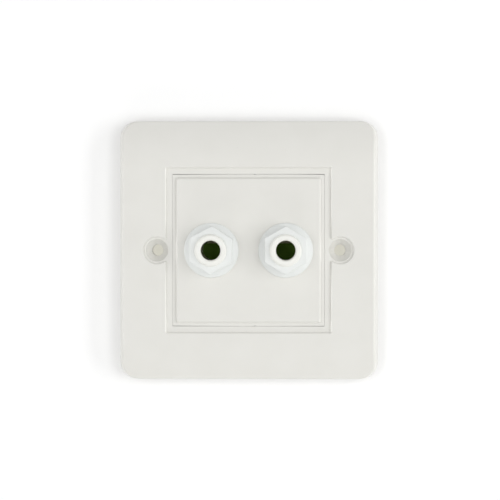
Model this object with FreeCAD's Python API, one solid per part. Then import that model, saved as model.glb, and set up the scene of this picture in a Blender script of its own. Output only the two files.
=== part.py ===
import FreeCAD, Part
import math
import os

# Twin 6.35 mm jack socket wall plate, in millimetres.
# X runs to the right as seen from the front, Z is up, and the front faces -Y.
# The origin is the middle of the plate's rear rim, which lies on the wall at Y = 0.

# Plate
PLATE_WIDTH = 86.0
PLATE_HEIGHT = 86.0
PLATE_DEPTH = 9.0
PLATE_WALL = 2.4
PLATE_CORNER = 5.8
SIDE_DRAFT = 1.4
END_DRAFT = 0.7
FLAT_MARGIN = 0.9
ROLL_RADIUS = 36.0
FACE_EDGE_ROUND = 0.7
RIB_WALL = 1.4
RIB_SETBACK = 2.0
END_RIB_SPACING = 28.0
SIDE_RIB_SPACING = 38.0

# Fixing holes, with a recess that lobes out around each
FIXING_MARGIN = 5.1
SCREW_HOLE = 3.8
SCREW_HEAD = 7.35
HEAD_SINK = 1.0
BOSS_SETBACK = 0.5
LOBE_RADIUS = 4.3
LEDGE_WIDTH = 2.0
RECESS_DEPTH = 0.8
RECESS_CHAMFER = 0.4
LOBE_BLEND = 0.5

# Module and the rebate that it clips into
MODULE_SIZE = 50.0
MODULE_GAP = 0.05
MODULE_BOW = 0.1
MODULE_CORNER = 0.2
FLANGE_THICKNESS = 3.0
RIM_WIDTH = 1.0
PANEL_CORNER = 0.8
PANEL_CHAMFER = 0.6
PANEL_THICKNESS = 2.5
GATE_MARK = 0.5
GATE_OFFSET = 2.1
COLLAR_WALL = 2.0
SEAT_WIDTH = 1.9
SEAT_THICKNESS = 2.0
SKIRT_GAP = 0.2
SKIRT_WALL = 1.5
SKIRT_LENGTH = 4.4
CLIP_WIDTH = 8.0
CLIP_SPACING = 25.0
CLIP_HOOK = 0.9
CLIP_GAP = 0.1
CLIP_TAPER = 1.9
SLIT_WIDTH = 0.8
SLIT_SETBACK = 0.6

# Jacks
JACK_SPACING = 24.5
BUSH_DIAMETER = 10.7
THREAD_DEPTH = 0.3
BUSH_LENGTH = 9.3
BUSH_CHAMFER = 0.3
PANEL_HOLE_GAP = 0.15
MOUTH_GAP = 0.05
MOUTH_CHAMFER = 0.4
LIP_LENGTH = 1.0
HOUSING_WIDTH = 15.0
HOUSING_WALL = 1.5
HOUSING_CORNER = 0.8
HEAD_MARGIN = 0.6
WINDOW_LENGTH = 9.0
WINDOW_BOTTOM = -1.0
WINDOW_TOP = 7.0
PEG_DIAMETER = 1.4
PEG_INSET = 1.0
PEG_GAP = 0.15

# Flanged hexagon nuts, each left at the angle where it was tightened
NUT_HEIGHT = 5.5
NUT_WALL = 1.65
NUT_FLANGE_REACH = 2.0
NUT_FLANGE_EDGE = 0.8
NUT_FLANGE_RISE = 0.8
NUT_CHAMFER = 0.3
NUT_THREAD_GAP = 0.05
NUT_TURN_LEFT = 2.5
NUT_TURN_RIGHT = 0.3

# The plug that the jack takes
PLUG_DIAMETER = 6.35
PLUG_LENGTH = 30.5
PLUG_GROOVE = 26.5
PLUG_SLEEVE = 16.5
PLUG_TIP_ROOM = 3.3

# Contacts, bent from strip
STRIP = 0.4
TAIL_WIDTH = 1.0
TAIL_PROUD = 1.0
TAIL_GAP = 0.3
SLEEVE_GAP = 0.025
SLEEVE_FIT = 0.05
SLEEVE_STRAP_WIDTH = 2.4
SLEEVE_STRAP_FALL = 2.2
SLEEVE_STRAP_ROOM = 0.5
SLEEVE_STRAP_RUN = 2.0
SLEEVE_STRAP_GAP = 0.15
TIP_WIDTH = 4.5
TIP_ROOT_RISE = 3.2
TIP_STEM = 2.4
TIP_DIP = 1.2
TIP_END_RISE = 2.2
TIP_END_RUN = 5.6
TIP_END_FLAT = 1.2
BREAK_WIDTH = 3.0
BREAK_RISE = 2.6
BREAK_ROOM = 1.2
BREAK_GAP = 0.1
BREAK_REACH = 1.8
BREAK_PAD = 2.8
BEND = 0.6

# Circuit board
BOARD_SIDE_MARGIN = 3.0
BOARD_TOP_MARGIN = 3.6
BOARD_BOTTOM_MARGIN = 2.0
BOARD_THICKNESS = 1.6
BOARD_CORNER = 1.5

# Insulation displacement terminals
WAYS = 3
WAY_PITCH = 4.5
BLOCK_CLEARANCE = 3.4
BLOCK_HEIGHT = 10.0
BLOCK_DEPTH = 7.0
BLOCK_END_WALL = 1.2
BLOCK_CHAMFER = 0.5
WIRE_SLOT = 1.3
WIRE_SLOT_DEPTH = 6.5
LEAD_IN_WIDTH = 2.4
LEAD_IN_DEPTH = 1.2
BLADE_WIDTH = 3.2
BLADE_THICKNESS = 0.5
BLADE_SETBACK = 1.4
BLADE_SLIT = 0.4
BLADE_SLIT_DEPTH = 5.0
BLADE_MOUTH = 1.2
POCKET_GAP = 0.1

# Planes worked out from the sizes above
FACE_Y = -PLATE_DEPTH
LEDGE_Y = FACE_Y + RECESS_DEPTH
SEAT_Y = LEDGE_Y + FLANGE_THICKNESS
SEAT_BACK_Y = SEAT_Y + SEAT_THICKNESS
PANEL_BACK_Y = FACE_Y + PANEL_THICKNESS
SKIRT_BACK_Y = SEAT_Y + SKIRT_LENGTH
MOUTH_Y = PANEL_BACK_Y - BUSH_LENGTH
GROOVE_Y = MOUTH_Y + PLUG_GROOVE
SLEEVE_END_Y = MOUTH_Y + PLUG_SLEEVE
HEAD_BLOCK_Y = SLEEVE_END_Y + HEAD_MARGIN
BOARD_Y = MOUTH_Y + PLUG_LENGTH + PLUG_TIP_ROOM
BOARD_BACK_Y = BOARD_Y + BOARD_THICKNESS
TAIL_END_Y = BOARD_BACK_Y + TAIL_PROUD

# Sizes that follow from a fit
APERTURE_SIZE = MODULE_SIZE + 2 * MODULE_GAP
OPENING_SIZE = APERTURE_SIZE - 2 * SEAT_WIDTH
COLLAR_SIZE = APERTURE_SIZE + 2 * COLLAR_WALL
SKIRT_SIZE = OPENING_SIZE - 2 * SKIRT_GAP
RECESS_SIZE = APERTURE_SIZE + 2 * LEDGE_WIDTH
FLAT_HEIGHT = RECESS_SIZE + 2 * FLAT_MARGIN
FIXING_CENTRES = APERTURE_SIZE + 2 * FIXING_MARGIN
PANEL_SIZE = MODULE_SIZE - 2 * RIM_WIDTH
BUSH_CORE = BUSH_DIAMETER - 2 * THREAD_DEPTH
NUT_ACROSS_FLATS = BUSH_DIAMETER + 2 * NUT_WALL
NUT_FLANGE = NUT_ACROSS_FLATS + 2 * NUT_FLANGE_REACH
MOUTH_DIAMETER = PLUG_DIAMETER + 2 * MOUTH_GAP
SLEEVE_BORE = PLUG_DIAMETER + 2 * SLEEVE_GAP
SLEEVE_OUTSIDE = SLEEVE_BORE + 2 * STRIP
PEG_HOLE = PEG_DIAMETER + 2 * PEG_GAP
BLOCK_WIDTH = WAYS * WAY_PITCH + 2 * BLOCK_END_WALL

# Heights above and below a jack's axis
TIP_CREST_HEIGHT = SLEEVE_BORE / 2 - TIP_DIP
TIP_END_HEIGHT = SLEEVE_BORE / 2 + TIP_END_RISE
TIP_ROOT_HEIGHT = SLEEVE_BORE / 2 + TIP_ROOT_RISE
BREAK_HEIGHT = TIP_ROOT_HEIGHT + BREAK_RISE
BREAK_PAD_HEIGHT = TIP_END_HEIGHT - STRIP - BREAK_GAP
SLEEVE_STRAP_DROP = SLEEVE_BORE / 2 + SLEEVE_STRAP_FALL
HOUSING_TOP = BREAK_HEIGHT + STRIP / 2 + BREAK_ROOM
HOUSING_BOTTOM = -(SLEEVE_STRAP_DROP + STRIP / 2 + SLEEVE_STRAP_ROOM + HOUSING_WALL)
PEG_HEIGHT = HOUSING_BOTTOM + PEG_INSET
TERMINAL_HEIGHT = HOUSING_BOTTOM - BLOCK_CLEARANCE - BLOCK_DEPTH / 2
BOARD_TOP = HOUSING_TOP + BOARD_TOP_MARGIN
BOARD_BOTTOM = TERMINAL_HEIGHT - BLOCK_DEPTH / 2 - BOARD_BOTTOM_MARGIN
BOARD_WIDTH = JACK_SPACING + HOUSING_WIDTH + 2 * BOARD_SIDE_MARGIN

FRONT = FreeCAD.Vector(0, -1, 0)
REAR = FreeCAD.Vector(0, 1, 0)
CUT_OVER = 1.0
SIDES = {"left": -1, "right": 1}


def point(x, y, z):
    return FreeCAD.Vector(x, y, z)


def line(start, end):
    return Part.LineSegment(start, end).toShape()


def arc(start, middle, end):
    return Part.Arc(start, middle, end).toShape()


def block(x_middle, width, y_front, y_back, z_low, z_high):
    """Box of a given width about x_middle, between the named planes."""
    corner = point(x_middle - width / 2, y_front, z_low)
    return Part.makeBox(width, y_back - y_front, z_high - z_low, corner)


def rod(x, z, diameter, y_front, y_back):
    """Cylinder along Y."""
    return Part.makeCylinder(diameter / 2, y_back - y_front, point(x, y_front, z), REAR)


def rounded_outline(width, height, radius, y):
    """Closed outline of a rectangle with round corners, square to Y."""
    x_flat = width / 2 - radius
    z_flat = height / 2 - radius
    lean = radius * math.sqrt(0.5)
    edges = []
    for x_side, z_side in ((1, 1), (-1, 1), (-1, -1), (1, -1)):
        centre = point(x_side * x_flat, y, z_side * z_flat)
        beside = centre + point(x_side * radius, 0, 0)
        above = centre + point(0, 0, z_side * radius)
        middle = centre + point(x_side * lean, 0, z_side * lean)
        if x_side == z_side:
            edges.append(arc(beside, middle, above))
        else:
            edges.append(arc(above, middle, beside))
    for n in range(4):
        corner_end = edges[2 * n].Vertexes[-1].Point
        next_start = edges[(2 * n + 1) % len(edges)].Vertexes[0].Point
        edges.insert(2 * n + 1, line(corner_end, next_start))
    return Part.Wire(edges)


def prism(outline, y_front, y_back):
    """Solid between two planes with a closed outline drawn at y_front."""
    return Part.Face(outline).extrude(REAR * (y_back - y_front))


def square_prism(size, radius, y_front, y_back):
    return prism(rounded_outline(size, size, radius, y_front), y_front, y_back)


def edges_on_plane(solid, y, within):
    """Edges that lie in the plane at y and within a square about the middle."""
    found = []
    for edge in solid.Edges:
        box = edge.BoundBox
        flat = abs(box.YMin - y) < 1e-4 and abs(box.YMax - y) < 1e-4
        inside = max(abs(box.XMin), abs(box.XMax), abs(box.ZMin), abs(box.ZMax)) <= within / 2
        if flat and inside:
            found.append(edge)
    return found


# Front plate


def roll_prism(face_y, radius):
    """Everything behind the front surface, which is flat in the middle and rolls back above and below."""
    flat_z = FLAT_HEIGHT / 2
    end_z = PLATE_HEIGHT / 2 + CUT_OVER
    side_x = -PLATE_WIDTH

    def on_roll(z):
        depth = radius - math.sqrt(radius**2 - (z - flat_z) ** 2)
        return face_y + depth

    middle_z = (flat_z + end_z) / 2
    lower = arc(
        point(side_x, on_roll(end_z), -end_z),
        point(side_x, on_roll(middle_z), -middle_z),
        point(side_x, face_y, -flat_z),
    )
    flat = line(point(side_x, face_y, -flat_z), point(side_x, face_y, flat_z))
    upper = arc(
        point(side_x, face_y, flat_z),
        point(side_x, on_roll(middle_z), middle_z),
        point(side_x, on_roll(end_z), end_z),
    )
    top = line(point(side_x, on_roll(end_z), end_z), point(side_x, 0, end_z))
    back = line(point(side_x, 0, end_z), point(side_x, 0, -end_z))
    bottom = line(point(side_x, 0, -end_z), point(side_x, on_roll(end_z), -end_z))
    profile = Part.Wire([lower, flat, upper, top, back, bottom])
    return Part.Face(profile).extrude(point(2 * PLATE_WIDTH, 0, 0))


def plate_form(inset):
    """Drafted and rolled form of the plate, inset all round from the outside."""
    x_rear = PLATE_WIDTH / 2 - inset
    z_rear = PLATE_HEIGHT / 2 - inset
    x_front = x_rear - SIDE_DRAFT
    z_front = z_rear - END_DRAFT
    drafted = Part.makeWedge(
        -x_front, FACE_Y, -z_front, -z_rear, -x_rear, x_front, 0, z_front, z_rear, x_rear
    )
    corners = [edge for edge in drafted.Edges if edge.BoundBox.YLength > PLATE_DEPTH / 2]
    drafted = drafted.makeFillet(PLATE_CORNER - inset, corners)
    return drafted.common(roll_prism(FACE_Y + inset, ROLL_RADIUS - inset))


def face_rim_edges(form):
    """Edges where the front surface meets the sides."""
    found = []
    for edge in form.Edges:
        box = edge.BoundBox
        across_front = box.ZLength < 1e-4 and abs(abs(box.ZMin) - FLAT_HEIGHT / 2) < 1e-3
        if box.YMax < -CUT_OVER and not across_front:
            found.append(edge)
    return found


def recess_outline():
    """Square round the module, lobed around each fixing hole, with blended corners."""
    square = Part.Face(rounded_outline(RECESS_SIZE, RECESS_SIZE, MODULE_CORNER, FACE_Y))
    lobes = []
    for side in SIDES.values():
        centre = point(side * FIXING_CENTRES / 2, FACE_Y, 0)
        lobes.append(Part.Face(Part.Wire(Part.makeCircle(LOBE_RADIUS, centre, FRONT))))
    joined = square.fuse(lobes).removeSplitter().Faces[0]
    return joined.makeOffset2D(LOBE_BLEND).makeOffset2D(-LOBE_BLEND).Faces[0].OuterWire


def fixing_hole(x):
    """Counterbore, countersink and clearance hole for one fixing screw."""
    head_y = LEDGE_Y + HEAD_SINK
    cone_depth = (SCREW_HEAD - SCREW_HOLE) / 2
    head = rod(x, 0, SCREW_HEAD, FACE_Y - CUT_OVER, head_y)
    cone = Part.makeCone(SCREW_HEAD / 2, SCREW_HOLE / 2, cone_depth, point(x, head_y, 0), REAR)
    shank = rod(x, 0, SCREW_HOLE, head_y, CUT_OVER)
    return head.fuse([cone, shank])


def plate_ribs():
    """Stiffening ribs from the collar to the rim, two on each side."""
    ribs = []
    reach = max(PLATE_WIDTH, PLATE_HEIGHT) / 2
    collar = COLLAR_SIZE / 2 - RIB_WALL
    for side in (-1, 1):
        for end in (-1, 1):
            x = side * END_RIB_SPACING / 2
            low, high = sorted((end * collar, end * reach))
            ribs.append(block(x, RIB_WALL, FACE_Y, -RIB_SETBACK, low, high))
            z = end * SIDE_RIB_SPACING / 2
            middle = side * (collar + reach) / 2
            ribs.append(
                block(middle, reach - collar, FACE_Y, -RIB_SETBACK, z - RIB_WALL / 2, z + RIB_WALL / 2)
            )
    return ribs


def make_front_plate():
    outside = plate_form(0)
    outside = outside.makeFillet(FACE_EDGE_ROUND, face_rim_edges(outside))
    hollow = plate_form(PLATE_WALL)
    collar = square_prism(COLLAR_SIZE, MODULE_CORNER + COLLAR_WALL, FACE_Y, SEAT_BACK_Y)
    bosses = [
        rod(side * FIXING_CENTRES / 2, 0, 2 * LOBE_RADIUS, FACE_Y, -BOSS_SETBACK)
        for side in SIDES.values()
    ]
    backing = collar.fuse(bosses + plate_ribs()).common(plate_form(PLATE_WALL / 2))
    plate = outside.cut(hollow).fuse(backing).removeSplitter()
    recess = prism(recess_outline(), FACE_Y, LEDGE_Y)
    plate = plate.cut(recess)
    span = FIXING_CENTRES + 2 * LOBE_RADIUS + CUT_OVER
    plate = plate.makeChamfer(RECESS_CHAMFER, edges_on_plane(plate, FACE_Y, span))
    aperture = square_prism(APERTURE_SIZE, MODULE_CORNER, FACE_Y - CUT_OVER, SEAT_Y)
    opening = square_prism(OPENING_SIZE, MODULE_CORNER, SEAT_Y, CUT_OVER)
    holes = [fixing_hole(side * FIXING_CENTRES / 2) for side in SIDES.values()]
    return plate.cut([aperture, opening] + holes)


# Module insert


def bowed_outline(y):
    """Module outline, straight at the sides and slightly bowed along the top and bottom."""
    half = MODULE_SIZE / 2
    corner = half - MODULE_BOW
    right = line(point(half, y, -corner), point(half, y, corner))
    top = arc(point(half, y, corner), point(0, y, half), point(-half, y, corner))
    left = line(point(-half, y, corner), point(-half, y, -corner))
    bottom = arc(point(-half, y, -corner), point(0, y, -half), point(half, y, -corner))
    return Part.Wire([right, top, left, bottom])


def clip_hook(x, end):
    """Wedge hook that catches behind the plate's seat, on the top or bottom skirt wall."""
    catch_y = SEAT_BACK_Y + CLIP_GAP
    root_z = end * (SKIRT_SIZE / 2 - SKIRT_WALL / 2)
    wall_z = end * SKIRT_SIZE / 2
    tip_z = end * (OPENING_SIZE / 2 + CLIP_HOOK)
    x_start = x - CLIP_WIDTH / 2
    corners = [
        point(x_start, catch_y, root_z),
        point(x_start, catch_y, tip_z),
        point(x_start, catch_y + CLIP_TAPER, wall_z),
        point(x_start, catch_y + CLIP_TAPER, root_z),
    ]
    profile = Part.makePolygon(corners + corners[:1])
    return Part.Face(profile).extrude(point(CLIP_WIDTH, 0, 0))


def clip_slits(x, end):
    """Pair of slits that leave the hook on a springy tongue."""
    slits = []
    inner_z = SKIRT_SIZE / 2 - SKIRT_WALL - CUT_OVER / 2
    outer_z = SKIRT_SIZE / 2 + CUT_OVER / 2
    low, high = sorted((end * inner_z, end * outer_z))
    for side in (-1, 1):
        middle = x + side * (CLIP_WIDTH + SLIT_WIDTH) / 2
        slits.append(
            block(middle, SLIT_WIDTH, SEAT_Y + SLIT_SETBACK, SKIRT_BACK_Y + CUT_OVER, low, high)
        )
    return slits


def make_module_insert():
    flange = prism(bowed_outline(LEDGE_Y), LEDGE_Y, SEAT_Y)
    panel = square_prism(PANEL_SIZE, PANEL_CORNER, FACE_Y, SEAT_Y)
    panel = panel.makeChamfer(PANEL_CHAMFER, edges_on_plane(panel, FACE_Y, PANEL_SIZE + CUT_OVER))
    skirt = square_prism(SKIRT_SIZE, MODULE_CORNER, LEDGE_Y, SKIRT_BACK_Y)
    tray = square_prism(SKIRT_SIZE - 2 * SKIRT_WALL, MODULE_CORNER, PANEL_BACK_Y, SKIRT_BACK_Y + CUT_OVER)
    middle_rib = block(
        0, RIB_WALL, PANEL_BACK_Y - RIB_WALL, SKIRT_BACK_Y - RIB_SETBACK, -SKIRT_SIZE / 2, SKIRT_SIZE / 2
    )
    hooks = []
    cuts = []
    for end in (-1, 1):
        cuts.append(rod(GATE_OFFSET, end * MODULE_SIZE / 2, GATE_MARK, LEDGE_Y - CUT_OVER, SEAT_Y + CUT_OVER))
        for side in (-1, 1):
            x = side * CLIP_SPACING / 2
            hooks.append(clip_hook(x, end))
            cuts.extend(clip_slits(x, end))
    hole = BUSH_DIAMETER + 2 * PANEL_HOLE_GAP
    for side in SIDES.values():
        cuts.append(rod(side * JACK_SPACING / 2, 0, hole, FACE_Y - CUT_OVER, PANEL_BACK_Y + CUT_OVER))
    shell = panel.fuse([flange, skirt]).cut(tray)
    return shell.fuse([middle_rib] + hooks).cut(cuts).removeSplitter()


# Jacks


def peg_places(x):
    """Middle of each side wall of a jack's housing, where a peg locates the board."""
    return [x + side * (HOUSING_WIDTH - HOUSING_WALL) / 2 for side in (-1, 1)]


def make_jack_body(x):
    """Threaded bush and spring housing, moulded in one."""
    bush = rod(x, 0, BUSH_CORE, MOUTH_Y, PANEL_BACK_Y)
    bush = bush.makeChamfer(BUSH_CHAMFER, edges_on_plane(bush, MOUTH_Y, 2 * PLATE_WIDTH))
    length_y = BOARD_Y - PANEL_BACK_Y
    housing = block(x, HOUSING_WIDTH, PANEL_BACK_Y, BOARD_Y, HOUSING_BOTTOM, HOUSING_TOP)
    upright = [edge for edge in housing.Edges if abs(edge.BoundBox.YLength - length_y) < 1e-4]
    housing = housing.makeFillet(HOUSING_CORNER, upright)
    chamber_width = HOUSING_WIDTH - 2 * HOUSING_WALL
    chamber = block(
        x,
        chamber_width,
        HEAD_BLOCK_Y,
        BOARD_Y + CUT_OVER,
        HOUSING_BOTTOM + HOUSING_WALL,
        HOUSING_TOP + CUT_OVER,
    )
    window_y = BOARD_Y - HOUSING_WALL - WINDOW_LENGTH
    window = block(
        x, HOUSING_WIDTH + CUT_OVER, window_y, window_y + WINDOW_LENGTH, WINDOW_BOTTOM, WINDOW_TOP
    )
    socket_bore = rod(x, 0, SLEEVE_OUTSIDE + 2 * SLEEVE_FIT, MOUTH_Y + LIP_LENGTH, HEAD_BLOCK_Y + CUT_OVER)
    mouth = rod(x, 0, MOUTH_DIAMETER, MOUTH_Y - CUT_OVER, MOUTH_Y + LIP_LENGTH)
    flare = Part.makeCone(
        MOUTH_DIAMETER / 2 + MOUTH_CHAMFER, MOUTH_DIAMETER / 2, MOUTH_CHAMFER, point(x, MOUTH_Y, 0), REAR
    )
    strap_slot = block(
        x,
        SLEEVE_STRAP_WIDTH + 2 * SLEEVE_STRAP_GAP,
        SLEEVE_END_Y - SLEEVE_STRAP_RUN - STRIP,
        HEAD_BLOCK_Y + CUT_OVER,
        -SLEEVE_STRAP_DROP - STRIP,
        0,
    )
    pegs = [rod(peg_x, PEG_HEIGHT, PEG_DIAMETER, BOARD_Y - STRIP, BOARD_BACK_Y) for peg_x in peg_places(x)]
    body = bush.fuse(housing).cut([chamber, window, socket_bore, mouth, flare, strap_slot])
    return body.fuse(pegs).removeSplitter()


def make_jack_nut(x, turn):
    """Hexagon nut with a slightly coned flange, turned by some degrees about its axis."""
    root_y = FACE_Y
    rim = NUT_FLANGE / 2
    across_corners = NUT_ACROSS_FLATS / math.cos(math.radians(30))
    corners = []
    for n in range(6):
        angle = math.radians(60 * n + 90 - turn)
        reach = across_corners / 2
        corners.append(point(x + reach * math.cos(angle), root_y - NUT_HEIGHT, reach * math.sin(angle)))
    hexagon = Part.Face(Part.makePolygon(corners + corners[:1])).extrude(REAR * NUT_HEIGHT)
    front_edges = [edge for edge in hexagon.Edges if edge.BoundBox.YMin < root_y - CUT_OVER]
    hexagon = hexagon.makeChamfer(NUT_CHAMFER, front_edges)
    section = [
        point(x, root_y, 0),
        point(x + rim, root_y, 0),
        point(x + rim, root_y - NUT_FLANGE_EDGE + NUT_CHAMFER, 0),
        point(x + rim - NUT_CHAMFER, root_y - NUT_FLANGE_EDGE, 0),
        point(x + NUT_ACROSS_FLATS / 2, root_y - NUT_FLANGE_EDGE - NUT_FLANGE_RISE, 0),
        point(x, root_y - NUT_FLANGE_EDGE - NUT_FLANGE_RISE, 0),
    ]
    flange = Part.Face(Part.makePolygon(section + section[:1])).revolve(point(x, 0, 0), REAR, 360)
    thread = rod(x, 0, BUSH_CORE + 2 * NUT_THREAD_GAP, root_y - NUT_HEIGHT - CUT_OVER, root_y + CUT_OVER)
    return flange.fuse(hexagon).cut(thread).removeSplitter()


# Contacts


def bent_strip(x, width, route):
    """Strip of the contact thickness along a route of (y, z) points, with round bends, square to X."""
    half = STRIP / 2
    stations = [FreeCAD.Vector(0, y, z) for y, z in route]
    upper = []
    lower = []

    def side_of(direction):
        return FreeCAD.Vector(0, -direction.z, direction.y)

    legs = [(b - a).normalize() for a, b in zip(stations, stations[1:])]
    last_upper = stations[0] + side_of(legs[0]) * half
    last_lower = stations[0] - side_of(legs[0]) * half
    start_upper = last_upper
    start_lower = last_lower
    for corner, arriving, leaving in zip(stations[1:], legs, legs[1:]):
        turn = arriving.getAngle(leaving)
        way = 1 if side_of(arriving).dot(leaving) > 0 else -1
        radius = BEND + half
        setback = radius * math.tan(turn / 2)
        bend_in = corner - arriving * setback
        bend_out = corner + leaving * setback
        centre = bend_in + side_of(arriving) * (way * radius)
        outward = (corner - centre).normalize()
        for edges, offset, last in ((upper, half, last_upper), (lower, -half, last_lower)):
            first = bend_in + side_of(arriving) * offset
            final = bend_out + side_of(leaving) * offset
            crown = centre + outward * (radius - way * offset)
            edges.append(line(last, first))
            edges.append(arc(first, crown, final))
        last_upper = bend_out + side_of(leaving) * half
        last_lower = bend_out - side_of(leaving) * half
    end_upper = stations[-1] + side_of(legs[-1]) * half
    end_lower = stations[-1] - side_of(legs[-1]) * half
    upper.append(line(last_upper, end_upper))
    lower.append(line(last_lower, end_lower))
    caps = [line(end_upper, end_lower), line(start_lower, start_upper)]
    outline = Part.Wire(Part.__sortEdges__(upper + lower + caps))
    strip = Part.Face(outline).extrude(point(width, 0, 0))
    strip.translate(point(x - width / 2, 0, 0))
    return strip


def narrow_tail(x, strip, width):
    """Trim a strip to the width of its tail where it goes through the board."""
    reach = 2 * PLATE_HEIGHT
    trims = []
    for side in (-1, 1):
        trim_width = (width - TAIL_WIDTH) / 2 + CUT_OVER
        middle = x + side * (TAIL_WIDTH + trim_width) / 2
        trims.append(block(middle, trim_width, BOARD_Y - STRIP, TAIL_END_Y + CUT_OVER, -reach, reach))
    return strip.cut(trims)


def make_sleeve_contact(x):
    """Tube that lines the bush, with a strap to the board."""
    front_y = MOUTH_Y + LIP_LENGTH
    outer = rod(x, 0, SLEEVE_OUTSIDE, front_y, SLEEVE_END_Y)
    inner = rod(x, 0, SLEEVE_BORE, front_y - CUT_OVER, SLEEVE_END_Y + CUT_OVER)
    strap_z = -(SLEEVE_BORE + STRIP) / 2
    step_y = SLEEVE_END_Y + SLEEVE_STRAP_RUN
    drop = SLEEVE_STRAP_DROP + strap_z
    route = [
        (SLEEVE_END_Y - SLEEVE_STRAP_RUN, strap_z),
        (step_y, strap_z),
        (step_y + drop, -SLEEVE_STRAP_DROP),
        (TAIL_END_Y, -SLEEVE_STRAP_DROP),
    ]
    strap = narrow_tail(x, bent_strip(x, SLEEVE_STRAP_WIDTH, route), SLEEVE_STRAP_WIDTH)
    return outer.fuse(strap).cut(inner).removeSplitter()


def make_tip_spring(x):
    """Leaf that rises from the board, dips to a crest in the plug's groove and flares out again."""
    half = STRIP / 2
    end_y = GROOVE_Y - TIP_END_RUN
    route = [
        (TAIL_END_Y, TIP_ROOT_HEIGHT),
        (BOARD_Y - TIP_STEM, TIP_ROOT_HEIGHT),
        (GROOVE_Y, TIP_CREST_HEIGHT + half),
        (end_y, TIP_END_HEIGHT - half),
        (end_y - TIP_END_FLAT, TIP_END_HEIGHT - half),
    ]
    return narrow_tail(x, bent_strip(x, TIP_WIDTH, route), TIP_WIDTH)


def make_break_contact(x):
    """Strip over the tip spring, hooked round its free end to meet it from the bore side."""
    half = STRIP / 2
    front_y = GROOVE_Y - TIP_END_RUN - TIP_END_FLAT - BREAK_REACH
    pad_z = BREAK_PAD_HEIGHT - half
    route = [
        (TAIL_END_Y, BREAK_HEIGHT),
        (front_y, BREAK_HEIGHT),
        (front_y, pad_z),
        (front_y + BREAK_PAD, pad_z),
    ]
    return narrow_tail(x, bent_strip(x, BREAK_WIDTH, route), BREAK_WIDTH)


# Circuit board and terminals


def way_places(x):
    """Middle of each terminal way of the block behind one jack."""
    return [x + (n - (WAYS - 1) / 2) * WAY_PITCH for n in range(WAYS)]


def make_circuit_board():
    height = BOARD_TOP - BOARD_BOTTOM
    outline = rounded_outline(BOARD_WIDTH, height, BOARD_CORNER, BOARD_Y)
    board = prism(outline, BOARD_Y, BOARD_BACK_Y)
    board.translate(point(0, 0, (BOARD_TOP + BOARD_BOTTOM) / 2))
    cuts = []

    def tail_slot(x, z, thickness):
        """Slot that clears a flat tail of some thickness on every side."""
        width = TAIL_WIDTH + 2 * TAIL_GAP
        half = thickness / 2 + TAIL_GAP
        cuts.append(block(x, width, BOARD_Y - CUT_OVER, BOARD_BACK_Y + CUT_OVER, z - half, z + half))

    for side in SIDES.values():
        x = side * JACK_SPACING / 2
        for z in (TIP_ROOT_HEIGHT, BREAK_HEIGHT, -SLEEVE_STRAP_DROP):
            tail_slot(x, z, STRIP)
        for way_x in way_places(x):
            tail_slot(way_x, TERMINAL_HEIGHT, BLADE_THICKNESS)
        for peg_x in peg_places(x):
            cuts.append(rod(peg_x, PEG_HEIGHT, PEG_HOLE, BOARD_Y - CUT_OVER, BOARD_BACK_Y + CUT_OVER))
    return board.cut(cuts)


def make_terminal_block(x):
    """Moulded comb with a wire slot and a blade pocket for each way."""
    back_y = BOARD_BACK_Y + BLOCK_HEIGHT
    low = TERMINAL_HEIGHT - BLOCK_DEPTH / 2
    high = TERMINAL_HEIGHT + BLOCK_DEPTH / 2
    body = block(x, BLOCK_WIDTH, BOARD_BACK_Y, back_y, low, high)
    outer_edges = [edge for edge in body.Edges if edge.BoundBox.YMax > back_y - CUT_OVER]
    body = body.makeChamfer(BLOCK_CHAMFER, outer_edges)
    cuts = []
    for way_x in way_places(x):
        slot_y = back_y - WIRE_SLOT_DEPTH
        cuts.append(block(way_x, WIRE_SLOT, slot_y, back_y + CUT_OVER, low - CUT_OVER, high + CUT_OVER))
        mouth = [
            point(way_x, back_y - LEAD_IN_DEPTH, low - CUT_OVER),
            point(way_x + LEAD_IN_WIDTH / 2, back_y, low - CUT_OVER),
            point(way_x - LEAD_IN_WIDTH / 2, back_y, low - CUT_OVER),
        ]
        wedge = Part.Face(Part.makePolygon(mouth + mouth[:1]))
        cuts.append(wedge.extrude(point(0, 0, BLOCK_DEPTH + 2 * CUT_OVER)))
        cuts.append(
            block(
                way_x,
                BLADE_WIDTH + 2 * POCKET_GAP,
                BOARD_BACK_Y - CUT_OVER,
                back_y - BLADE_SETBACK + POCKET_GAP,
                TERMINAL_HEIGHT - BLADE_THICKNESS / 2 - POCKET_GAP,
                TERMINAL_HEIGHT + BLADE_THICKNESS / 2 + POCKET_GAP,
            )
        )
    return body.cut(cuts)


def make_terminal_blade(x):
    """Forked blade whose slit cuts through a wire's insulation, with a tail through the board."""
    tip_y = BOARD_BACK_Y + BLOCK_HEIGHT - BLADE_SETBACK
    front_y = BOARD_Y - TAIL_PROUD
    z = TERMINAL_HEIGHT - BLADE_THICKNESS / 2
    right_half = [
        (TAIL_WIDTH / 2, front_y),
        (TAIL_WIDTH / 2, BOARD_BACK_Y),
        (BLADE_WIDTH / 2, BOARD_BACK_Y),
        (BLADE_WIDTH / 2, tip_y),
        (BLADE_MOUTH / 2, tip_y),
        (BLADE_SLIT / 2, tip_y - BLADE_MOUTH),
        (BLADE_SLIT / 2, tip_y - BLADE_SLIT_DEPTH),
    ]
    left_half = [(-across, y) for across, y in reversed(right_half)]
    corners = [point(x + across, y, z) for across, y in right_half + left_half]
    return Part.Face(Part.makePolygon(corners + corners[:1])).extrude(point(0, 0, BLADE_THICKNESS))


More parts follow.
